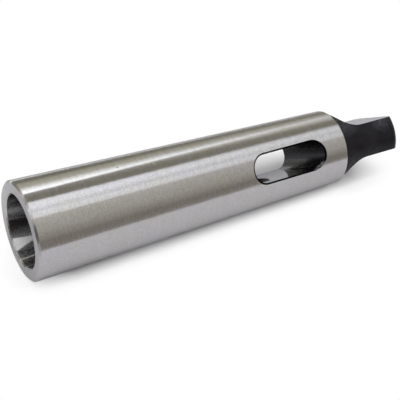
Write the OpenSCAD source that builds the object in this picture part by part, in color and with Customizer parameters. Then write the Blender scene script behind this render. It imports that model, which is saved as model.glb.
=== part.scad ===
// Taper reduction sleeve: no. 4 taper outside, no. 3 taper socket inside.
// One turned, milled and ground steel piece, standing on its mouth.
// Z runs along the axis, from the centre of the mouth face to the tang.
// The drift slot passes through along Y and the tang's flats face +X and -X.

/* [Outside cone] */

// Overall length, from the mouth face to the end of the tang
total_length = 140; // [137:0.5:160]
// Outside diameter at the mouth face, before its edge is broken
mouth_d = 32.4; // [31.8:0.1:36]
// Length in which the outside diameter shrinks by 1 mm
outside_taper = 19.254; // [18.5:0.001:21]
// Length of the ground cone, from the mouth face to its small end
cone_length = 116; // [112:0.5:117]
// Width of the bevel round the outside of the mouth
mouth_bevel = 0.6; // [0.2:0.1:1.5]

/* [Socket] */

// Diameter of the ground socket at the mouth face
socket_d = 23.825; // [23:0.025:25]
// Length in which the socket's diameter shrinks by 1 mm
socket_taper = 19.922; // [18.5:0.001:21]
// Width of the bevel round the mouth of the socket
socket_bevel = 0.4; // [0.1:0.1:1]
// Diameter of the drilled bore that the socket tapers down to
bore_d = 20.2; // [19.5:0.1:20.8]
// Depth of the drilled bore at its full diameter
bore_depth = 85.5; // [82:0.5:92]
// Included angle of the drill point at the bottom of the bore
drill_point = 118; // [90:1:140]

/* [Drift slot] */

// Width of the slot that takes the drift, across the flats' direction
slot_width = 9.6; // [8:0.1:12]
// Length of the slot over its round ends
slot_length = 29; // [26:0.1:33]
// Distance from the mouth face to the near end of the slot
slot_start = 77.7; // [74:0.1:80]

/* [Tang] */

// Diameter that the tang is turned to
tang_d = 24.5; // [23:0.1:25.4]
// Thickness of the tang between its two flats
tang_thickness = 11.7; // [10:0.1:13]
// Length of each flat, from the end of the tang to the start of its root
flat_length = 14.3; // [12:0.1:16]
// Radius of the milled root that runs each flat out to the round
root_radius = 9; // [8:0.1:12]
// Radius turned on the rim of the tang's end
end_radius = 2.5; // [0.5:0.1:3]

/* [Centre hole] */

// Diameter of the 60 degree countersink in the end of the tang
centre_d = 5; // [3:0.1:8]
// Diameter of the pilot hole below the countersink
pilot_d = 2; // [1:0.1:2.5]
// Depth of the pilot hole from the end of the tang
pilot_depth = 6; // [5:0.1:9]

/* [Hidden] */

$fn = 128;

steel = [0.72, 0.71, 0.69];
oxide = [0.13, 0.13, 0.14];

// How far a cutter reaches past the face that it leaves
past = 1;
// How far the tang's blank reaches back into the cone
lap = 4;

mouth_r = mouth_d / 2;
cone_end_r = outside_r(cone_length);
tang_r = tang_d / 2;
shoulder = cone_end_r - tang_r;
socket_length = (socket_d - bore_d) * socket_taper;
point_length = bore_d / 2 / tan(drill_point / 2);
slot_end_r = slot_width / 2;
flat_x = tang_thickness / 2;
flat_start = total_length - flat_length;
centre_depth = centre_d / 2 / tan(30);

// Radius of the outside cone at a height above the mouth face
function outside_r(z) = mouth_r - z / outside_taper / 2;

// Radius of the ground socket at a height above the mouth face
function socket_r(z) = socket_d / 2 - z / socket_taper / 2;

// Half section of the cone, with the broken edge at its mouth
module cone_section() {
    polygon([
        [0, 0],
        [mouth_r - mouth_bevel, 0],
        [outside_r(mouth_bevel), mouth_bevel],
        [cone_end_r, cone_length],
        [0, cone_length]
    ]);
}

// Half section of the tang's round blank, with its shoulder and rounded rim
module tang_section() {
    polygon([
        [0, cone_length - lap],
        [tang_r, cone_length - lap],
        [cone_end_r, cone_length],
        [tang_r, cone_length + shoulder],
        [tang_r, total_length - end_radius],
        [tang_r - end_radius, total_length],
        [0, total_length]
    ]);
    translate([tang_r - end_radius, total_length - end_radius])
        circle(r = end_radius);
}

// Half section of the hollow: bevel, ground socket, drilled bore and its point
module socket_section() {
    polygon([
        [0, -past],
        [socket_d / 2 + socket_bevel + past, -past],
        [socket_r(socket_bevel), socket_bevel],
        [bore_d / 2, socket_length],
        [bore_d / 2, bore_depth],
        [0, bore_depth + point_length]
    ]);
}

// Half section of the centre hole, drawn down from the end of the tang
module centre_section() {
    polygon([
        [0, past],
        [centre_d / 2 + past * tan(30), past],
        [pilot_d / 2, pilot_d / 2 / tan(30) - centre_depth],
        [pilot_d / 2, -pilot_depth],
        [0, -pilot_depth - pilot_d / 2 / tan(drill_point / 2)]
    ]);
}

// A shape drawn in X and Z, swept through the whole piece along Y
module across() {
    rotate([90, 0, 0])
        linear_extrude(height = mouth_d + 2 * past, center = true)
            children();
}

// The drift slot: straight sides with a milled round at each end
module slot_outline() {
    translate([-slot_end_r, slot_start + slot_end_r])
        square([slot_width, slot_length - slot_width]);
    for (end = [slot_start + slot_end_r, slot_start + slot_length - slot_end_r])
        translate([0, end])
            circle(r = slot_end_r);
}

// What the mill takes off one side of the tang: its flat and curved root
module flat_outline() {
    translate([flat_x + root_radius, flat_start])
        circle(r = root_radius);
    translate([flat_x, flat_start])
        square([root_radius, flat_length + past]);
}

module sleeve() {
    difference() {
        union() {
            color(steel) rotate_extrude() cone_section();
            color(oxide) rotate_extrude() tang_section();
        }
        color(oxide) rotate_extrude() socket_section();
        color(oxide) across() slot_outline();
        for (side = [0, 1])
            mirror([side, 0, 0])
                color(oxide) across() flat_outline();
        translate([0, 0, total_length])
            color(oxide) rotate_extrude() centre_section();
    }
}

sleeve();
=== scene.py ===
import bpy
import bmesh
import math
from mathutils import Matrix, Vector


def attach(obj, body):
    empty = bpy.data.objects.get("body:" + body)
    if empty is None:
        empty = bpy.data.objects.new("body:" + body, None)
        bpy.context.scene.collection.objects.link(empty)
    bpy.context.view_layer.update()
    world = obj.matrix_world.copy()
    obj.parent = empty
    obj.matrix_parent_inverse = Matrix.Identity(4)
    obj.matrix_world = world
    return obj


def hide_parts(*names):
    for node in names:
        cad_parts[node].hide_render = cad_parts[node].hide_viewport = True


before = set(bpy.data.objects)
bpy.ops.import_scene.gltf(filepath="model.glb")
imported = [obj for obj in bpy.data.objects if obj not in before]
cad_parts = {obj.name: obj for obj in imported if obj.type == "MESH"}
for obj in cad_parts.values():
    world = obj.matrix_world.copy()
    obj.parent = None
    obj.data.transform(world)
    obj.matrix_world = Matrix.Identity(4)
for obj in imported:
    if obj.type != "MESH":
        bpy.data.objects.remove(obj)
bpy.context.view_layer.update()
print("frame loaded")

mm = 0.001

# Camera, fitted to the photograph: distances in mm, directions as unit vectors
cameraSetup = {
    "place": (36.832, 284.124, -78.395),
    "right": (-0.210054, 0.459646, 0.862904),
    "up": (0.968510, -0.022835, 0.247925),
    "ahead": (-0.133662, -0.887809, 0.440375),
    "focalInPixels": 952.26,
    "pictureInPixels": 400,  # its width
    "sensor": 36.0,
    "sees": (0.01, 50),  # nearest and farthest, in metres
}

# In metres: points and edges closer or shorter than this become one
merging = {"turned": 1e-7, "rounded": 5e-6, "cut": 2e-6, "tiny": 1e-6}


def deselectAll():
    if bpy.context.object and bpy.context.object.mode != "OBJECT":
        bpy.ops.object.mode_set(mode="OBJECT")
    bpy.ops.object.select_all(action="DESELECT")


def makeActive(piece):
    deselectAll()
    piece.select_set(True)
    bpy.context.view_layer.objects.active = piece


def addCamera(c):
    bpy.ops.object.camera_add()
    camera = bpy.context.object
    camera.name = "photoCamera"
    axes = Matrix((Vector(c["right"]), Vector(c["up"]), -Vector(c["ahead"])))
    camera.matrix_world = Matrix.Translation(Vector(c["place"]) * mm) @ axes.transposed().to_4x4()
    camera.data.sensor_width = c["sensor"]
    camera.data.lens = c["focalInPixels"] / c["pictureInPixels"] * c["sensor"]
    camera.data.clip_start, camera.data.clip_end = c["sees"]
    bpy.context.scene.camera = camera


addCamera(cameraSetup)
print("camera placed")

# The sleeve, in mm, standing on its mouth
sleeve = {
    "length": 140,
    "coneLength": 116,
    "mouthRadius": 16.2,
    "coneSlope": 1 / 38.508,  # radius lost in each mm of length
    "mouthBevel": 0.6,
    "socketRadius": 11.9125,
    "socketSlope": 1 / 39.844,
    "socketBevel": 0.4,
    "boreRadius": 10.1,
    "boreDepth": 85.5,
    "drillPoint": 118,  # included angles of the drill and of the countersink
    "countersink": 60,
    "slotWidth": 9.6,
    "slotLength": 29,
    "slotStart": 77.7,
    "tangRadius": 12.25,
    "tangThickness": 11.7,
    "flatLength": 14.3,
    "rootRadius": 9,
    "endRadius": 2.5,
    "centreRadius": 2.5,
    "pilotRadius": 1,
    "pilotDepth": 6,
    "rimWidth": 0.58,  # broken edge round the slot, beyond its walls
    "rimDepth": 0.37,
    # its cutter: a plug that ends below the edge, then flares; out and up in widths and depths of the edge
    "plugGap": 0.04,
    "plugLow": 4,  # mm above the axis
    "plugTop": -1.1,
    "flare": ((0.45, -0.45), (1.4, 0.33)),
    "steps": 240,  # faces round the axis
    "slotSteps": 20,  # faces in a quarter of the slot's ends, of the flats' roots and of the tang's rim
    "rootSteps": 24,
    "endSteps": 8,
    "through": 20,  # half length of a cutter that goes right through
    "past": 5,  # how far a cutter runs out of the piece
    "hair": 0.001,  # keeps two rounds from meeting in one point
    "smoothBelow": 28,  # degrees between faces
    "skin": 0.9990,  # keeps the round just inside the frame's box
}


def coneRadius(s, z):
    return s["mouthRadius"] - z * s["coneSlope"]


def halfSection(s):
    # from the drill's point out over the mouth, up to the tang's end and into the centre hole
    pointSlope = math.tan(math.radians(s["drillPoint"] / 2))
    centreSlope = math.tan(math.radians(s["countersink"] / 2))
    bore, socket, tang = s["boreRadius"], s["socketRadius"], s["tangRadius"]
    bevel, chamfer, rim = s["mouthBevel"], s["socketBevel"], s["endRadius"]
    coneEnd = coneRadius(s, s["coneLength"])
    points = [
        (0, s["boreDepth"] + bore / pointSlope),
        (bore, s["boreDepth"]),
        (bore, (socket - bore) / s["socketSlope"]),
        (socket - chamfer * s["socketSlope"], chamfer),
        (socket + chamfer, 0),
        (s["mouthRadius"] - bevel, 0),
        (coneRadius(s, bevel), bevel),
        (coneEnd, s["coneLength"]),
        (tang, s["coneLength"] + coneEnd - tang),
    ]
    for i in range(s["endSteps"] + 1):
        a = math.radians(90 * i / s["endSteps"])
        points.append((tang - rim + rim * math.cos(a), s["length"] - rim + rim * math.sin(a)))
    points += [
        (s["centreRadius"], s["length"]),
        (s["pilotRadius"], s["length"] - (s["centreRadius"] - s["pilotRadius"]) / centreSlope),
        (s["pilotRadius"], s["length"] - s["pilotDepth"]),
        (0, s["length"] - s["pilotDepth"] - s["pilotRadius"] / pointSlope),
    ]
    return [Vector((r * s["skin"], 0, z)) * mm for r, z in points]


def turnBlank(s):
    # one vertex drawn along the half section, then spun round the axis
    points = halfSection(s)
    deselectAll()
    bpy.ops.mesh.primitive_plane_add(size=mm)
    blank = bpy.context.object
    blank.name = "sleeveBody"
    bpy.ops.object.mode_set(mode="EDIT")
    bpy.ops.mesh.select_all(action="SELECT")
    bpy.ops.mesh.merge(type="CENTER")
    bpy.ops.transform.translate(value=points[0])
    for here, there in zip(points, points[1:]):
        bpy.ops.mesh.extrude_region_move(TRANSFORM_OT_translate={"value": there - here})
    bpy.ops.mesh.select_all(action="SELECT")
    bpy.ops.mesh.spin(steps=s["steps"], angle=2 * math.pi, center=(0, 0, 0), axis=(0, 0, 1))
    bpy.ops.mesh.select_all(action="SELECT")
    bpy.ops.mesh.remove_doubles(threshold=merging["turned"])
    bpy.ops.mesh.normals_make_consistent(inside=False)
    bpy.ops.object.mode_set(mode="OBJECT")
    return blank


def addBlock(name, low, high):
    # a block between two corners in mm
    deselectAll()
    low, high = Vector(low) * mm, Vector(high) * mm
    bpy.ops.mesh.primitive_cube_add(size=1, location=(low + high) / 2, scale=high - low)
    block = bpy.context.object
    block.name = name
    bpy.ops.object.transform_apply(location=True, rotation=True, scale=True)
    return block


def roundEdges(block, chosen, radius, segments):
    # bevels the edges that run along Y and pass the test
    makeActive(block)
    bpy.ops.object.mode_set(mode="EDIT")
    bpy.ops.mesh.select_all(action="DESELECT")
    bpy.ops.mesh.select_mode(type="EDGE")
    shape = bmesh.from_edit_mesh(block.data)
    for edge in shape.edges:
        a, b = (v.co for v in edge.verts)
        if max(abs(a.x - b.x), abs(a.z - b.z)) < merging["tiny"] and chosen((a + b) / 2):
            edge.select_set(True)
    bmesh.update_edit_mesh(block.data)
    bpy.ops.mesh.bevel(offset=radius * mm, segments=segments, affect="EDGES", profile=0.5)
    bpy.ops.mesh.select_all(action="SELECT")
    bpy.ops.mesh.remove_doubles(threshold=merging["rounded"])
    bpy.ops.object.mode_set(mode="OBJECT")


def cutAway(piece, cutter):
    makeActive(piece)
    cut = piece.modifiers.new("cut", "BOOLEAN")
    cut.operation = "DIFFERENCE"
    cut.solver = "EXACT"
    cut.object = cutter
    bpy.ops.object.modifier_apply(modifier=cut.name)
    bpy.data.objects.remove(cutter)
    bpy.ops.object.mode_set(mode="EDIT")
    bpy.ops.mesh.select_all(action="SELECT")
    bpy.ops.mesh.remove_doubles(threshold=merging["cut"])
    bpy.ops.mesh.dissolve_degenerate(threshold=merging["tiny"])
    bpy.ops.object.mode_set(mode="OBJECT")


def slotCentre(s, z):
    # nearest point of the slot's centre line, in mm
    half = s["slotWidth"] / 2
    return min(max(z, s["slotStart"] + half), s["slotStart"] + s["slotLength"] - half)


def slotBlock(name, s, low, high):
    # the slot's outline, solid between two places along Y in mm
    half, start = s["slotWidth"] / 2, s["slotStart"]
    block = addBlock(name, (-half, low, start), (half, high, start + s["slotLength"]))
    roundEdges(block, lambda middle: True, half - s["hair"], s["slotSteps"])
    return block


def millSlot(piece, s):
    cutAway(piece, slotBlock("slotCutter", s, -s["through"], s["through"]))


def breakRim(piece, s, side):
    # a plug in the slot whose edge flares out to follow the cone
    half, w, d = s["slotWidth"] / 2, s["rimWidth"], s["rimDepth"]
    thick = 1
    block = slotBlock("rimCutter", s, 0, thick)
    makeActive(block)
    bpy.ops.object.mode_set(mode="EDIT")
    shape = bmesh.from_edit_mesh(block.data)
    # each ring: out from the slot's wall, then up from the cone, or else up from the axis
    rings = [(-s["plugGap"], None, s["plugLow"]), (-s["plugGap"], s["plugTop"] * d, None)]
    rings += [(out * w, rise * d, None) for out, rise in s["flare"]]
    rings.append((rings[-1][0], None, s["through"]))
    top = [v for v in shape.verts if v.co.y > thick / 2 * mm]
    for v in shape.verts:
        v.select_set(False)
    shape.faces.ensure_lookup_table()
    for face in shape.faces:
        face.select_set(all(v in top for v in face.verts))
    bmesh.update_edit_mesh(block.data)
    for i, (out, rise, level) in enumerate(rings):
        if i == 0:
            chosen = [v for v in shape.verts if not v.select]
        else:
            if i > 1:
                bpy.ops.mesh.extrude_region_move(TRANSFORM_OT_translate={"value": (0, 0, 0)})
                shape = bmesh.from_edit_mesh(block.data)
            chosen = [v for v in shape.verts if v.select]
        for v in chosen:
            x, z = v.co.x / mm, v.co.z / mm
            middle = slotCentre(s, z)
            away = Vector((x, 0, z - middle)).normalized() * (half + out)
            surface = math.sqrt((coneRadius(s, middle + away.z) * s["skin"]) ** 2 - away.x ** 2)
            height = level if rise is None else surface + rise
            v.co = Vector((away.x, side * height, middle + away.z)) * mm
        bmesh.update_edit_mesh(block.data)
    bpy.ops.mesh.select_all(action="SELECT")
    bpy.ops.mesh.normals_make_consistent(inside=False)
    bpy.ops.mesh.quads_convert_to_tris()
    bpy.ops.object.mode_set(mode="OBJECT")
    cutAway(piece, block)


def millFlats(piece, s):
    flatX, start = s["tangThickness"] / 2, s["length"] - s["flatLength"]
    for side in (1, -1):
        inner, outer = sorted((side * flatX, side * (flatX + s["rootRadius"] + s["past"])))
        low = (inner, -s["through"], start - s["rootRadius"])
        block = addBlock("flatCutter", low, (outer, s["through"], s["length"] + s["past"]))
        edgeX = side * flatX * mm
        atRoot = lambda middle: abs(middle.x - edgeX) < merging["rounded"] and middle.z < start * mm
        roundEdges(block, atRoot, s["rootRadius"], s["rootSteps"])
        cutAway(piece, block)


def buildSleeve(s):
    piece = turnBlank(s)
    millSlot(piece, s)
    for side in (1, -1):
        breakRim(piece, s, side)
    millFlats(piece, s)
    makeActive(piece)
    bpy.ops.object.shade_smooth_by_angle(angle=math.radians(s["smoothBelow"]))
    return piece


# How a face is told from the others: distances in mm, and parts of its unit normal
telling = {
    "mouthHeight": 0.05,  # the mouth face lies below this
    "socketEdge": 0.1,  # the socket's bevel starts within this of its radius
    "offSlot": 0.03,  # from the slot's outline
    "slotLean": 0.02,  # of its walls, along the drift
    "wallLean": 0.03,  # less on its straight walls than on its round ends
    "rimReach": 1.5,  # below the cone, in depths of the broken edge
    "rimOutward": 0.985,  # the cone faces outwards more than the broken edge
    "facing": 0.9,  # outwards, inwards or down
    "boreSpare": 0.01,  # the socket is wider than the bore by more than this
    "offFlat": 0.01,
    "flatLean": 0.002,  # of the flats and roots, along the drift
    "rootLean": 0.001,  # the roots face the tang's end more than this
    "roundOutward": 0.999,
}


def surfaceKind(s, t, centre, normal):
    # which cut left this face
    x, y, z = centre / mm
    r = math.hypot(x, y)
    outward = (normal.x * x + normal.y * y) / max(r, merging["tiny"])
    fromSlot = math.hypot(x, z - slotCentre(s, z)) - s["slotWidth"] / 2
    if z < t["mouthHeight"] and normal.z < -t["facing"]:
        return "mouth"
    if z < s["mouthBevel"] and r > s["mouthRadius"] - 2 * s["mouthBevel"]:
        return "mouthBevel"
    if z < s["socketBevel"] and r > s["socketRadius"] - t["socketEdge"]:
        return "socketBevel"
    if abs(fromSlot) < t["offSlot"] and abs(normal.y) < t["slotLean"]:
        return "slotWall" if abs(normal.z) < t["wallLean"] else "slotEnd"
    underCone = coneRadius(s, z) - t["rimReach"] * s["rimDepth"]
    if -t["offSlot"] < fromSlot < s["rimWidth"] and r > underCone and outward < t["rimOutward"]:
        return "slotRim"
    if z < s["coneLength"] and outward > t["facing"]:
        return "cone"
    if z < s["coneLength"]:
        if outward > -t["facing"]:
            return "boreEnd"
        return "socket" if r > s["boreRadius"] + t["boreSpare"] else "bore"
    if abs(normal.y) < t["flatLean"]:
        if normal.z > -t["rootLean"] and abs(abs(x) - s["tangThickness"] / 2) < t["offFlat"]:
            return "flat"
        if normal.z > t["rootLean"]:
            return "root"
    if outward > t["roundOutward"] and z < s["length"] - s["endRadius"]:
        return "tangRound"
    return "tangEnd"


def trueNormal(s, kind, place):
    # the exact direction of a turned or milled surface
    x, y, z = place / mm
    radial = Vector((x, y, 0)).normalized()
    if kind == "cone":
        return Vector((radial.x, radial.y, s["coneSlope"])).normalized()
    if kind == "socket":
        return Vector((-radial.x, -radial.y, -s["socketSlope"])).normalized()
    if kind == "bore":
        return -radial
    if kind == "tangRound":
        return radial
    if kind in ("slotWall", "slotEnd"):
        return Vector((-x, 0, slotCentre(s, z) - z)).normalized()
    if kind == "flat":
        return Vector((math.copysign(1, x), 0, 0))
    if kind == "root":
        middle = s["tangThickness"] / 2 + s["rootRadius"]
        return Vector((math.copysign(middle, x) - x, 0, s["length"] - s["flatLength"] - z)).normalized()
    return None


def finishFaces(piece, s, finishes):
    # a material and exact normals for each kind of surface
    mesh = piece.data
    names = list(finishes)
    for name in names:
        mesh.materials.append(finishes[name][0])
    # known: directions that the broken edge takes over from the surfaces it joins
    kinds, known = {}, {}
    for face in mesh.polygons:
        kind = surfaceKind(s, telling, face.center, face.normal)
        kinds[face.index] = kind
        face.material_index = next(i for i, name in enumerate(names) if kind in finishes[name][1])
        for v in face.vertices:
            exact = trueNormal(s, kind, mesh.vertices[v].co)
            if exact and kind in ("cone", "slotWall", "slotEnd"):
                known[v] = exact
    normals = [Vector(corner.vector) for corner in mesh.corner_normals]
    for face in mesh.polygons:
        kind = kinds[face.index]
        for corner in face.loop_indices:
            v = mesh.loops[corner].vertex_index
            exact = trueNormal(s, kind, mesh.vertices[v].co)
            if kind == "slotRim":
                exact = known.get(v)
            if exact:
                normals[corner] = exact
    mesh.normals_split_custom_set(normals)
    count = {}
    for kind in kinds.values():
        count[kind] = count.get(kind, 0) + 1
    print("surfaces:", count)


def addMaterial(name):
    material = bpy.data.materials.new(name)
    material.use_nodes = True
    material.node_tree.nodes.clear()
    return material, material.node_tree


def addNode(tree, kind, settings={}, **sockets):
    # sockets: a value to set, or an output to link
    node = tree.nodes.new(kind)
    for key, value in settings.items():
        setattr(node, key, value)
    for key, value in sockets.items():
        socket = node.inputs[int(key[1:])] if key[1:].isdigit() else node.inputs[key.replace("_", " ")]
        if isinstance(value, bpy.types.NodeSocket):
            tree.links.new(value, socket)
        else:
            socket.default_value = value
    return node


def stretchedNoise(tree, scale, detail=3, roughness=0.6):
    # noise on the piece's own coordinates; scale is features in each metre
    where = addNode(tree, "ShaderNodeTexCoord").outputs["Object"]
    mapped = addNode(tree, "ShaderNodeMapping", Vector=where, Scale=scale).outputs[0]
    noise = addNode(tree, "ShaderNodeTexNoise", Vector=mapped, Scale=1.0, Detail=detail,
                    Roughness=roughness)
    return noise.outputs[0]


def remap(tree, value, low, high, toLow, toHigh):
    node = addNode(tree, "ShaderNodeMapRange", Value=value, From_Min=low, From_Max=high,
                   To_Min=toLow, To_Max=toHigh)
    return node.outputs[0]


def mixColour(tree, factor, a, b, blend="MIX"):
    node = addNode(tree, "ShaderNodeMix", {"data_type": "RGBA", "blend_type": blend}, i0=factor, i6=a, i7=b)
    return node.outputs[2]


def addMath(tree, operation, a, b=0.0, c=0.0):
    return addNode(tree, "ShaderNodeMath", {"operation": operation}, i0=a, i1=b, i2=c).outputs[0]


def nearSpot(tree, place, spot, radius, inner=0.4):
    # 1 in the inner part of a spot, 0 beyond its radius; place and radius in mm
    node = addNode(tree, "ShaderNodeVectorMath", {"operation": "DISTANCE"}, i0=place, i1=Vector(spot) * mm)
    return remap(tree, node.outputs["Value"], radius * mm * inner, radius * mm, 1, 0)


# How far to each side of its middle, 0.5, a noise is followed: less makes harder patches
noiseSpans = {"soft": 0.2, "firm": 0.15, "hard": 0.12, "hardest": 0.1}


def spread(tree, noise, span, low, high):
    # noise as a value that runs from low to high
    half = noiseSpans[span]
    return remap(tree, noise, 0.5 - half, 0.5 + half, low, high)


def addBump(tree, look, height, **sockets):
    node = addNode(tree, "ShaderNodeBump", Strength=look["bump"], Distance=look["bumpDepth"],
                   Height=height, **sockets)
    return node.outputs[0]


groundFinish = {
    "dark": (0.535, 0.53, 0.525, 1),
    "light": (0.592, 0.587, 0.587, 1),
    "olive": (0.974, 0.966, 0.925, 1),
    "pink": (0.994, 0.975, 0.995, 1),
    "glancing": (0.74, 0.74, 0.74, 1),  # how much of the glancing light comes back
    "roughness": (0.185, 0.235),
    "anisotropy": 1.0,
    "turn": 0.25,  # of the stretched highlight, in whole turns
    "rings": (70, 70, 2600),  # grinding lines, features in each metre
    "patches": (190, 190, 120),
    "grain": (1500, 1500, 1900),
    "grainColour": (0.5, 0.5, 0.5, 1),
    "grainDepth": 0.3,
    "bump": 0.1,
    "bumpDepth": 0.00002,
    "waveDepth": 0.00003,
    # small nicks on the cone, and painted highlights and painted shade on the mouth's face and bevels:
    # place in mm, radius in mm, brightness
    "nicksAndPaintedShading": [
        ((12.41, 9.04, 32.44), 0.4, 0.45),
        ((10.91, 10.37, 44.11), 0.35, 1.6),
        ((9.58, 11.47, 48.28), 0.3, 1.3),
    ],
}


def groundSteel(name, look):
    material, tree = addMaterial(name)
    rings = stretchedNoise(tree, look["rings"])
    patches = stretchedNoise(tree, look["patches"], 2)
    grain = stretchedNoise(tree, look["grain"], 2)
    base = mixColour(tree, spread(tree, rings, "soft", 0, 1), look["dark"], look["light"])
    tint = mixColour(tree, spread(tree, patches, "firm", 0, 1), look["olive"], look["pink"])
    base = mixColour(tree, 1.0, base, tint, "MULTIPLY")
    specks = spread(tree, grain, "soft", look["grainDepth"], 0)
    base = mixColour(tree, specks, base, look["grainColour"], "MULTIPLY")
    place = addNode(tree, "ShaderNodeTexCoord").outputs["Object"]
    # painted sheen: the face is darkened twice round, where its reflection is darker
    if "paintedSheen" in look:
        x, y, z = addNode(tree, "ShaderNodeSeparateXYZ", Vector=place).outputs
        lightest, darker = look["paintedSheen"]
        turned = addMath(tree, "MULTIPLY", addMath(tree, "ARCTAN2", y, x), 2.0)
        turned = addMath(tree, "COSINE", addMath(tree, "SUBTRACT", turned, math.radians(2 * lightest)))
        base = mixColour(tree, remap(tree, turned, -1, 1, darker, 0), base, (0, 0, 0, 1))
    # small nicks on the cone; painted highlights and painted shade on the mouth's finishes
    for spot, radius, level in look["nicksAndPaintedShading"]:
        near = nearSpot(tree, place, spot, radius)
        base = mixColour(tree, near, base, (level, level, level, 1), "MULTIPLY")
    rough = spread(tree, rings, "soft", *look["roughness"])
    waves = addNode(tree, "ShaderNodeBump", Strength=1.0, Distance=look["waveDepth"], Height=patches)
    bump = addBump(tree, look, rings, Normal=waves.outputs[0])
    tangent = addNode(tree, "ShaderNodeTangent", {"direction_type": "RADIAL", "axis": "Z"}).outputs[0]
    shader = addNode(tree, "ShaderNodeBsdfPrincipled", Base_Color=base, Metallic=1.0, Roughness=rough,
                     Normal=bump, Anisotropic=look["anisotropy"], Tangent=tangent,
                     Anisotropic_Rotation=look["turn"], Specular_Tint=look["glancing"])
    addNode(tree, "ShaderNodeOutputMaterial", Surface=shader.outputs[0])
    return material


# Painted light and shade along the socket, in degrees round it: the bands are a matt, lighter patch that
# the socket's spot lights, and thin painted reflection lines; the shades are painted shade.
# Place at the mouth, turn in each mm, half width at the mouth, widening in each mm, soft edge; then how
# strong
socketFinish = {
    "dark": (0.30, 0.294, 0.30, 1),
    "light": (0.465, 0.456, 0.456, 1),
    "mottle": (2600, 2600, 2000),
    "mottleLevels": (0.13, 0.87),
    "roughness": (0.22, 0.34),
    "bump": 0.15,
    "bumpDepth": 0.00003,
    "anisotropy": 0.9,
    "turn": 0.25,
    "paintedBands": [
        (-115.5, 0.65, 9.6, -1.1, 2.4, 0.88),
        (-103, 0.65, 3, 0, 9, 0.085),
        (-60, -0.3, 1, 0, 7, 0.3),
        (-73.2, -0.6, 0.3, 0, 1.2, 0.08),
        (-143.4, 0.3, 0.5, 0, 1.4, 0.5),
    ],
    "bandColour": (0.545, 0.545, 0.54, 1),
    "bandMottle": 0.7,
    "fade": (2, 5.5, 0.64),  # depths in mm between which the painted bands darken, and what is left of them
    "paintedShades": [
        (-88, 0, 11, 0, 6, 0.75),
        (-168, 0, 5, 0, 12, 0.5),
        (-14, 0, 12, 0, 9, 0.85),
        (-67, 0, 2.5, 0.4, 5, 0.3),
        (-39, 0, 2, 1, 5, 0.35),
        (-135, 0, 1, 0.5, 5, 0.3),
    ],
    "paintedShadeColour": (0.1, 0.1, 0.1, 1),
}


def socketBand(tree, angle, z, middle, twist, half, widening, edge, level):
    # level inside the band, 0 beyond its soft edge
    centre = addMath(tree, "MULTIPLY_ADD", z, twist / mm, float(middle))
    away = addMath(tree, "ABSOLUTE", addMath(tree, "SUBTRACT", angle, centre))
    width = addMath(tree, "MULTIPLY_ADD", z, widening / mm, float(half))
    return remap(tree, addMath(tree, "SUBTRACT", away, width), 0, edge, level, 0)


def socketSteel(name, look):
    material, tree = addMaterial(name)
    mottle = stretchedNoise(tree, look["mottle"], 4, 0.7)
    base = mixColour(tree, spread(tree, mottle, "firm", *look["mottleLevels"]), look["dark"], look["light"])
    place = addNode(tree, "ShaderNodeTexCoord").outputs["Object"]
    x, y, z = addNode(tree, "ShaderNodeSeparateXYZ", Vector=place).outputs
    angle = addMath(tree, "DEGREES", addMath(tree, "ARCTAN2", y, x))
    # painted shade: darker places inside the socket
    for shade in look["paintedShades"]:
        base = mixColour(tree, socketBand(tree, angle, z, *shade), base, look["paintedShadeColour"], "MULTIPLY")
    rough = spread(tree, mottle, "soft", *look["roughness"])
    tangent = addNode(tree, "ShaderNodeTangent", {"direction_type": "RADIAL", "axis": "Z"}).outputs[0]
    bump = addBump(tree, look, mottle)
    metal = addNode(tree, "ShaderNodeBsdfPrincipled", Base_Color=base, Metallic=1.0, Roughness=rough,
                    Normal=bump, Anisotropic=look["anisotropy"], Tangent=tangent,
                    Anisotropic_Rotation=look["turn"]).outputs[0]
    lit = None
    # painted light: a matt, lighter patch and thin painted reflection lines
    for band in look["paintedBands"]:
        band = socketBand(tree, angle, z, *band)
        lit = band if lit is None else addMath(tree, "MAXIMUM", lit, band)
    start, end, left = look["fade"]
    lit = addMath(tree, "MULTIPLY", lit, remap(tree, z, start * mm, end * mm, 1, left))
    dark = spread(tree, mottle, "hardest", 0, look["bandMottle"])
    colour = mixColour(tree, dark, look["bandColour"], look["dark"])
    matt = addNode(tree, "ShaderNodeBsdfDiffuse", Color=colour, Normal=bump).outputs[0]
    mixed = addNode(tree, "ShaderNodeMixShader", i0=lit, i1=metal, i2=matt).outputs[0]
    addNode(tree, "ShaderNodeOutputMaterial", Surface=mixed)
    return material


oxideFinish = {
    "dark": (0.0034, 0.0031, 0.0037, 1),
    "light": (0.0072, 0.0066, 0.0080, 1),
    "roughness": (0.34, 0.48),
    "specular": 0.15,
    "tint": (1.0, 0.97, 1.05, 1),
    "mottle": (900, 900, 900),
    "patches": (260, 260, 220),
    "bump": 0.3,
    "bumpDepth": 0.00003,
    "wearAndHighlightColour": (0.045, 0.046, 0.052, 1),
    "wearAndHighlightCore": 0.1,  # part of each place that is even
    "wearAndHighlightLeast": 0.15,  # what the mottle leaves of it
    # where it has worn greyer near the tang's top edge, and painted highlights and painted reflections
    # along its lower edge and root: place in mm, radius in mm, how much
    "wearAndPaintedHighlights": [
        ((7.9, 9.3, 119), 6, 0.85),
        ((5.9, 10.8, 134), 5, 0.75),
        ((-5.9, 10.8, 139), 3, 0.5),
        ((-9.7, 7.4, 119), 9, 0.85),
        ((-7.5, 9.7, 128), 7, 0.4),
    ],
}


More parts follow.
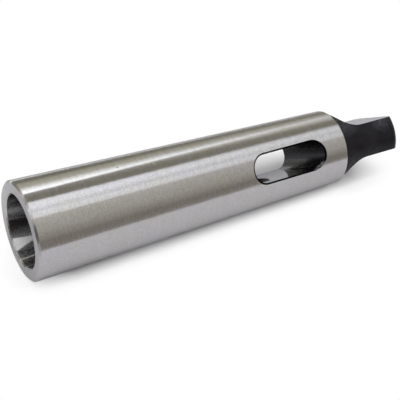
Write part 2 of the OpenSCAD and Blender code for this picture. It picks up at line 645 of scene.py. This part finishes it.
def blackOxide(name, look):
    material, tree = addMaterial(name)
    mottle = stretchedNoise(tree, look["mottle"], 4)
    patches = stretchedNoise(tree, look["patches"], 3)
    base = mixColour(tree, spread(tree, patches, "firm", 0, 1), look["dark"], look["light"])
    place = addNode(tree, "ShaderNodeTexCoord").outputs["Object"]
    # wear, and painted highlights and painted reflections, as lighter spots
    for spot, radius, level in look["wearAndPaintedHighlights"]:
        near = nearSpot(tree, place, spot, radius, look["wearAndHighlightCore"])
        amount = spread(tree, mottle, "hard", look["wearAndHighlightLeast"] * level, level)
        base = mixColour(tree, addMath(tree, "MULTIPLY", near, amount), base, look["wearAndHighlightColour"])
    rough = spread(tree, mottle, "soft", *look["roughness"])
    bump = addBump(tree, look, mottle)
    shader = addNode(tree, "ShaderNodeBsdfPrincipled", Base_Color=base, Metallic=0.0, Roughness=rough,
                     Normal=bump, Specular_IOR_Level=look["specular"], Specular_Tint=look["tint"])
    addNode(tree, "ShaderNodeOutputMaterial", Surface=shader.outputs[0])
    return material


body = buildSleeve(sleeve)
print("sleeve cut:", len(body.data.vertices), "points,", len(body.data.polygons), "faces")
faceFinish = dict(
    groundFinish, anisotropy=0.8, dark=(0.75, 0.75, 0.75, 1), light=(0.82, 0.82, 0.825, 1),
    paintedSheen=(145, 0.22),  # a painted sheen: where it is lightest, in degrees, and how much darker it is a quarter turn on
    # painted highlights and painted shade: places on the face made lighter and darker where its reflection
    # is
    nicksAndPaintedShading=[((1.4, 15.0, 0), 3.5, 0.88), ((-8.7, -10.3, 0), 7, 1.07), ((13.6, -2.4, 0), 5, 0.96)])
# the socket's bevel: a little darker than the face as painted shade, with painted highlights, a painted
# glint and painted shade in spots
bevelFinish = dict(
    faceFinish, dark=(0.68, 0.67, 0.65, 1), light=(0.76, 0.75, 0.73, 1),
    nicksAndPaintedShading=[
        ((-11.8, -2.7, 0.2), 4, 0.56), ((-8.1, -9.0, 0.2), 3, 0.65), ((2.6, -11.9, 0.2), 2.6, 0.5),
        ((-1.5, -12.1, 0.2), 2, 1.35), ((-9.8, -7.2, 0.2), 1.2, 1.5), ((-12.0, -2.1, 0.2), 0.9, 0.6),
    ])
edgeFinish = dict(
    groundFinish,
    # painted shade and painted highlights round the mouth's outer bevel, where its reflection is darker and
    # lighter
    nicksAndPaintedShading=[
        ((-3.9, 15.4, 0.3), 3.2, 0.72), ((10.3, 12.2, 0.3), 1.6, 0.75), ((13.8, 7.9, 0.3), 2, 0.9),
        ((6.7, 14.4, 0.3), 3, 1.12), ((14.9, -5.4, 0.3), 8, 1.25), ((-15.6, 3.3, 0.3), 5, 1.25),
    ])
slotFinish = dict(
    oxideFinish, dark=(0.001, 0.001, 0.0012, 1), light=(0.0024, 0.0023, 0.0028, 1),
    roughness=(0.09, 0.13), specular=0.62, mottle=(1200, 250, 1200), bump=0.35, wearAndPaintedHighlights=[])
slotEndFinish = dict(
    slotFinish, roughness=(0.22, 0.3), specular=0.27, bump=0.5,
    # a painted highlight where the slot's far end meets the cone
    wearAndHighlightColour=(0.36, 0.36, 0.36, 1), wearAndHighlightCore=0.6, wearAndPaintedHighlights=[((-4.3, 13.1, 104.2), 2.5, 1.0)])
rimFinish = dict(
    slotFinish, roughness=(0.4, 0.5), specular=0.0,
    # a painted highlight on the broken edge at the slot's far end
    wearAndHighlightColour=(0.15, 0.15, 0.15, 1), wearAndHighlightCore=0.5, wearAndPaintedHighlights=[((-4.6, 13.0, 104.0), 3.0, 1.0)])
flatFinish = dict(oxideFinish, roughness=(0.1, 0.2), specular=0.88, mottle=(900, 900, 120), wearAndPaintedHighlights=[])
finishFaces(body, sleeve, {
    "ground": (groundSteel("groundSteel", groundFinish), ("cone",)),
    "edge": (groundSteel("edgeSteel", edgeFinish), ("mouthBevel",)),
    "faced": (groundSteel("facedSteel", faceFinish), ("mouth",)),
    "bevel": (groundSteel("bevelSteel", bevelFinish), ("socketBevel",)),
    "socket": (socketSteel("socketSteel", socketFinish), ("socket",)),
    "slot": (blackOxide("slotOxide", slotFinish), ("slotWall",)),
    "slotEnd": (blackOxide("slotEndOxide", slotEndFinish), ("slotEnd",)),
    "rim": (blackOxide("rimOxide", rimFinish), ("slotRim",)),
    "flat": (blackOxide("flatOxide", flatFinish), ("flat", "root")),
    "oxide": (blackOxide("blackOxide", oxideFinish), ("boreEnd", "bore", "tangRound", "tangEnd")),
})
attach(body, "root")
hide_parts("sleeve")

# The sleeve lies on its side on the photograph's floor; angles are in degrees round its axis
studio = {
    "cameraAngle": 82.61,
    "floorAngle": 204.56,  # where the sleeve touches the floor
    "distance": 0.6,  # cards, from the axis
    "cardReach": (-0.9, 2.1),  # and along it
    "fallOff": (0.25, 0.55),  # where along it their light falls to its far level
    "worldLevel": 0.35,
}

# The paper floors: size and gap in metres, places and radii in mm, with lengths along the axis squashed
floors = {
    "size": 3.0,
    "gap": 0.0003,  # under the standing sleeve
    "squash": 0.6,
    "colour": (0.636, 0.632, 0.66, 1),
    "paintedContactShadow": ((-15.3, -5.6, 10), 14),  # a painted shadow on the paper right beside the mouth, seen in the steel, and its colour
    "paintedShadowColour": (0.50, 0.495, 0.52, 1),
    "seen": 0.87,  # what the camera sees of the paper
    "lying": ((-14.7, -6.7, 42), 46),  # where the camera sees paper; farther out it sees plain white
    "standing": ((0, 0, 0), 160),
    "evenPart": 0.74,  # part of that radius before the paper fades
}

# Soft boxes: angle from the camera, distance, height, aim and size in metres, brightness
lamps = {
    "frontLamp": {
        "angle": -18, "distance": 0.7, "height": 0.1, "aim": 0.06, "size": (0.6, 1.8), "level": 3.0,
    },
    "topLamp": {
        "angle": -58, "distance": 0.7, "height": 0.1, "aim": 0.06, "size": (0.6, 0.9), "level": 0.5,
    },
}

# The lamp that shines into the socket; angles in degrees, distance and size in metres, energy in watts
socketSpot = {
    "angle": -18, "lean": 35, "distance": 0.5, "beam": 2.8, "softness": 0.2, "size": 0.004, "energy": 6,
}

# Cards that only the steel sees: angles from the camera, colours from one side to the other,
# and what is left of them towards the tang
cards = {
    "rearWhite": {"from": -152, "to": -144, "colours": ((2.0, 2.0, 1.96), (2.0, 2.0, 1.96))},
    "rearDark": {"from": -144, "to": -122, "colours": ((0.215, 0.206, 0.17), (0.33, 0.32, 0.265))},
    "rearGrey": {"from": -122, "to": -85, "colours": ((0.54, 0.515, 0.415), (0.99, 0.97, 0.87))},
    "upperDark": {"from": -85, "to": -56.6, "colours": ((0.30, 0.285, 0.24), (0.30, 0.285, 0.24))},
    "topWhite": {
        "from": -56.6, "to": -40, "colours": ((1.60, 1.65, 1.74), (1.42, 1.46, 1.52)), "farLevel": 0.66,
    },
    "topSeam": {
        "from": -40, "to": -31, "colours": ((1.18, 1.20, 1.24), (1.18, 1.20, 1.24)), "farLevel": 0.66,
    },
    "topLower": {
        "from": -31, "to": -18, "colours": ((1.40, 1.42, 1.45), (1.24, 1.25, 1.27)), "farLevel": 0.66,
    },
    "frontUpper": {
        "from": -18, "to": 8, "colours": ((0.755, 0.735, 0.695), (0.605, 0.585, 0.54)), "farLevel": 0.88,
    },
    "frontLower": {"from": 8, "to": 34, "colours": ((0.605, 0.585, 0.54), (0.355, 0.325, 0.29))},
}

# The bright strip, nearer the sleeve and a little askew
strip = {
    "distance": 0.15,
    "near": (-96.5, -79.4, 0.04),  # from, to, place along the axis
    "far": (-104.5, -95, 0.20),
    "reach": (-0.12, 0.45),
    "colours": ((0.97, 0.98, 0.97), (2.28, 2.35, 2.43)),
    "ramp": 0.6,  # part of its width in which it brightens
    "farLevel": 0.64,
}

# The dark sheet that lies on the floor before the sleeve: how far off its near edge is at two places,
# in mm; then in metres the run between them, its far edge and its ends
floorSheet = {
    "nearMouth": 57,
    "nearTang": 49,
    "run": 0.12,
    "far": 0.6,
    "ends": (-0.3, 0.6),
    "gap": 0.0004,
    "colour": (0.31, 0.28, 0.25),
}

# Dark things beyond the mouth: where they start and stand along the axis, and how wide and high, in metres
mouthSide = {
    "start": -0.10,
    "end": -0.9,
    "halfWidth": 1,
    "height": 0.30,
    "gap": 0.0003,
    "colour": (0.07, 0.068, 0.062),
}


def floorMaterial(name, f, seen):
    # paper that takes the shadow near the sleeve, and plain white to the camera farther out
    material, tree = addMaterial(name)
    path = addNode(tree, "ShaderNodeLightPath").outputs["Is Camera Ray"]
    behind = addNode(tree, "ShaderNodeNewGeometry").outputs["Backfacing"]
    place = addNode(tree, "ShaderNodeTexCoord").outputs["Object"]
    squashed = addNode(tree, "ShaderNodeMapping", Vector=place, Scale=(1, 1, f["squash"])).outputs[0]
    # a painted shadow beside the mouth, which only reflections and bounced light see
    colour = mixColour(tree, nearSpot(tree, squashed, *f["paintedContactShadow"]), f["colour"], f["paintedShadowColour"])
    colour = mixColour(tree, path, colour, (f["seen"],) * 3 + (1,))
    paper = addNode(tree, "ShaderNodeBsdfDiffuse", Color=colour).outputs[0]
    away = addMath(tree, "SUBTRACT", 1.0, nearSpot(tree, squashed, *seen, f["evenPart"]))
    glow = addNode(tree, "ShaderNodeEmission", Color=(1, 1, 1, 1), Strength=1.0).outputs[0]
    farOut = addMath(tree, "MULTIPLY", away, path)
    paper = addNode(tree, "ShaderNodeMixShader", i0=farOut, i1=paper, i2=glow).outputs[0]
    clear = addNode(tree, "ShaderNodeBsdfTransparent").outputs[0]
    mixed = addNode(tree, "ShaderNodeMixShader", i0=behind, i1=paper, i2=clear).outputs[0]
    addNode(tree, "ShaderNodeOutputMaterial", Surface=mixed)
    return material


def cardMaterial(name, colours, farLevel=1.0, reach=studio["fallOff"], ramp=1.0):
    # even light across, or one that changes evenly; it may fall off along the axis
    material, tree = addMaterial(name)
    flat = addNode(tree, "ShaderNodeUVMap").outputs[0]
    across = addNode(tree, "ShaderNodeSeparateXYZ", Vector=flat).outputs[0]
    place = addNode(tree, "ShaderNodeTexCoord").outputs["Object"]
    height = addNode(tree, "ShaderNodeSeparateXYZ", Vector=place).outputs[2]
    colour = mixColour(tree, remap(tree, across, 0, ramp, 0, 1), colours[0] + (1,), colours[1] + (1,))
    level = remap(tree, height, *reach, 1.0, farLevel)
    glow = addNode(tree, "ShaderNodeEmission", Color=colour, Strength=level)
    addNode(tree, "ShaderNodeOutputMaterial", Surface=glow.outputs[0])
    return material


def addSheet(name, corners, material):
    # a flat sheet with its corners in metres, in the order of a plane's
    deselectAll()
    bpy.ops.mesh.primitive_plane_add(size=1)
    sheet = bpy.context.object
    sheet.name = name
    for vertex, corner in zip(sheet.data.vertices, corners):
        vertex.co = corner
    sheet.data.materials.append(material)
    return sheet


def seenBy(piece, camera=False, glossy=False):
    # seen by these rays alone, and throws no shadow
    piece.visible_camera, piece.visible_glossy, piece.visible_transmission = camera, glossy, glossy
    piece.visible_diffuse = piece.visible_shadow = False


def direction(angle):
    a = math.radians(studio["cameraAngle"] + angle)
    return Vector((math.cos(a), math.sin(a), 0))


def lyingFrame():
    # a point of the floor where it meets the mouth, its normal, and its run towards camera and tang
    slope = math.atan(sleeve["coneSlope"])
    a = math.radians(studio["floorAngle"])
    out = Vector((math.cos(a), math.sin(a), 0))
    normal = -(out * math.cos(slope) + Vector((0, 0, math.sin(slope))))
    along = (Vector((0, 0, 1)) - normal * normal.z).normalized()
    return out * sleeve["mouthRadius"] * mm, normal, along.cross(normal), along


def addLyingFloor(f, s):
    point, normal, towards, along = lyingFrame()
    half = f["size"] / 2
    corners = [point + towards * half * i + along * half * j for j in (-1, 1) for i in (-1, 1)]
    addSheet("lyingFloor", corners, floorMaterial("floorPaper", f, f["lying"]))
    start, end = s["nearMouth"] * mm, s["nearTang"] * mm
    lean = (end - start) / s["run"]
    corners = [(i, j) for j in s["ends"] for i in (s["far"], start + lean * j)]
    corners = [point + normal * s["gap"] + towards * i + along * j for i, j in corners]
    sheet = addSheet("floorSheet", corners, cardMaterial("floorSheetPaper", (s["colour"], s["colour"])))
    seenBy(sheet, glossy=True)


def addMouthSide(m):
    point, normal, towards, along = lyingFrame()
    material = cardMaterial("mouthSidePaper", (m["colour"], m["colour"]))
    sides = [towards * i * m["halfWidth"] for i in (-1, 1)]
    lying = [point + normal * m["gap"] + side + along * j for j in (m["end"], m["start"]) for side in sides]
    upright = [point + normal * h + side + along * m["end"] for h in (0, m["height"]) for side in sides]
    seenBy(addSheet("mouthSideFloor", lying, material), glossy=True)
    seenBy(addSheet("mouthSideWall", upright, material), glossy=True)


def addStandingFloor(f):
    half = f["size"] / 2
    corners = [Vector((half * i, half * j, -f["gap"])) for j in (-1, 1) for i in (-1, 1)]
    floor = addSheet("standingFloor", corners, floorMaterial("standingPaper", f, f["standing"]))
    seenBy(floor, camera=True)


def addCards(c):
    for name, card in c.items():
        d = studio["distance"] / math.cos(math.radians((card["to"] - card["from"]) / 2))
        sides = [direction(card[side]) * d for side in ("from", "to")]
        corners = [side + Vector((0, 0, z)) for z in studio["cardReach"] for side in sides]
        material = cardMaterial(name + "Card", card["colours"], card.get("farLevel", 1.0))
        seenBy(addSheet(name, corners, material), glossy=True)


def addStrip(s):
    d, corners = s["distance"], []
    for z in s["reach"]:
        part = (z - s["near"][2]) / (s["far"][2] - s["near"][2])
        for side in (0, 1):
            angle = s["near"][side] + (s["far"][side] - s["near"][side]) * part
            corners.append(direction(angle) * d + Vector((0, 0, z)))
    reach = (s["near"][2], s["far"][2])
    material = cardMaterial("stripCard", s["colours"], s["farLevel"], reach, s["ramp"])
    seenBy(addSheet("brightStrip", corners, material), glossy=True)


def addLamp(name, s):
    # an even soft box; level is what a white sheet would show if the box filled its sky
    place = direction(s["angle"]) * s["distance"] + Vector((0, 0, s["height"]))
    bpy.ops.object.light_add(type="AREA", location=place)
    lamp = bpy.context.object
    lamp.name = name
    lamp.rotation_euler = (place - Vector((0, 0, s["aim"]))).to_track_quat("Z", "Y").to_euler()
    lamp.data.shape = "RECTANGLE"
    lamp.data.size, lamp.data.size_y = s["size"]
    lamp.data.energy = s["level"] * math.pi * s["size"][0] * s["size"][1]
    lamp.visible_camera = lamp.visible_glossy = False


def addSocketSpot(s):
    # a narrow beam into the mouth
    lean = math.radians(s["lean"])
    out = direction(s["angle"]) * math.cos(lean) - Vector((0, 0, math.sin(lean)))
    bpy.ops.object.light_add(type="SPOT", location=out * s["distance"])
    lamp = bpy.context.object
    lamp.name = "socketSpot"
    lamp.rotation_euler = out.to_track_quat("Z", "Y").to_euler()
    lamp.data.spot_size = math.radians(s["beam"])
    lamp.data.spot_blend = s["softness"]
    lamp.data.shadow_soft_size = s["size"]
    lamp.data.energy = s["energy"]
    lamp.visible_camera = lamp.visible_glossy = False


def addWorld():
    world = bpy.data.worlds.new("studioWhite")
    bpy.context.scene.world = world
    world.use_nodes = True
    tree = world.node_tree
    tree.nodes.clear()
    path = addNode(tree, "ShaderNodeLightPath")
    seen = path.outputs["Is Camera Ray"]
    for ray in ("Is Glossy Ray", "Is Transmission Ray"):
        seen = addMath(tree, "MAXIMUM", seen, path.outputs[ray])
    strength = remap(tree, seen, 0, 1, studio["worldLevel"], 1.0)
    sky = addNode(tree, "ShaderNodeBackground", Color=(1, 1, 1, 1), Strength=strength)
    addNode(tree, "ShaderNodeOutputWorld", Surface=sky.outputs[0])


addLyingFloor(floors, floorSheet)
addMouthSide(mouthSide)
addStandingFloor(floors)
addCards(cards)
addStrip(strip)
addWorld()
addSocketSpot(socketSpot)
for name, lamp in lamps.items():
    addLamp(name, lamp)
print("studio lit")
bpy.context.scene.view_settings.view_transform = "Standard"
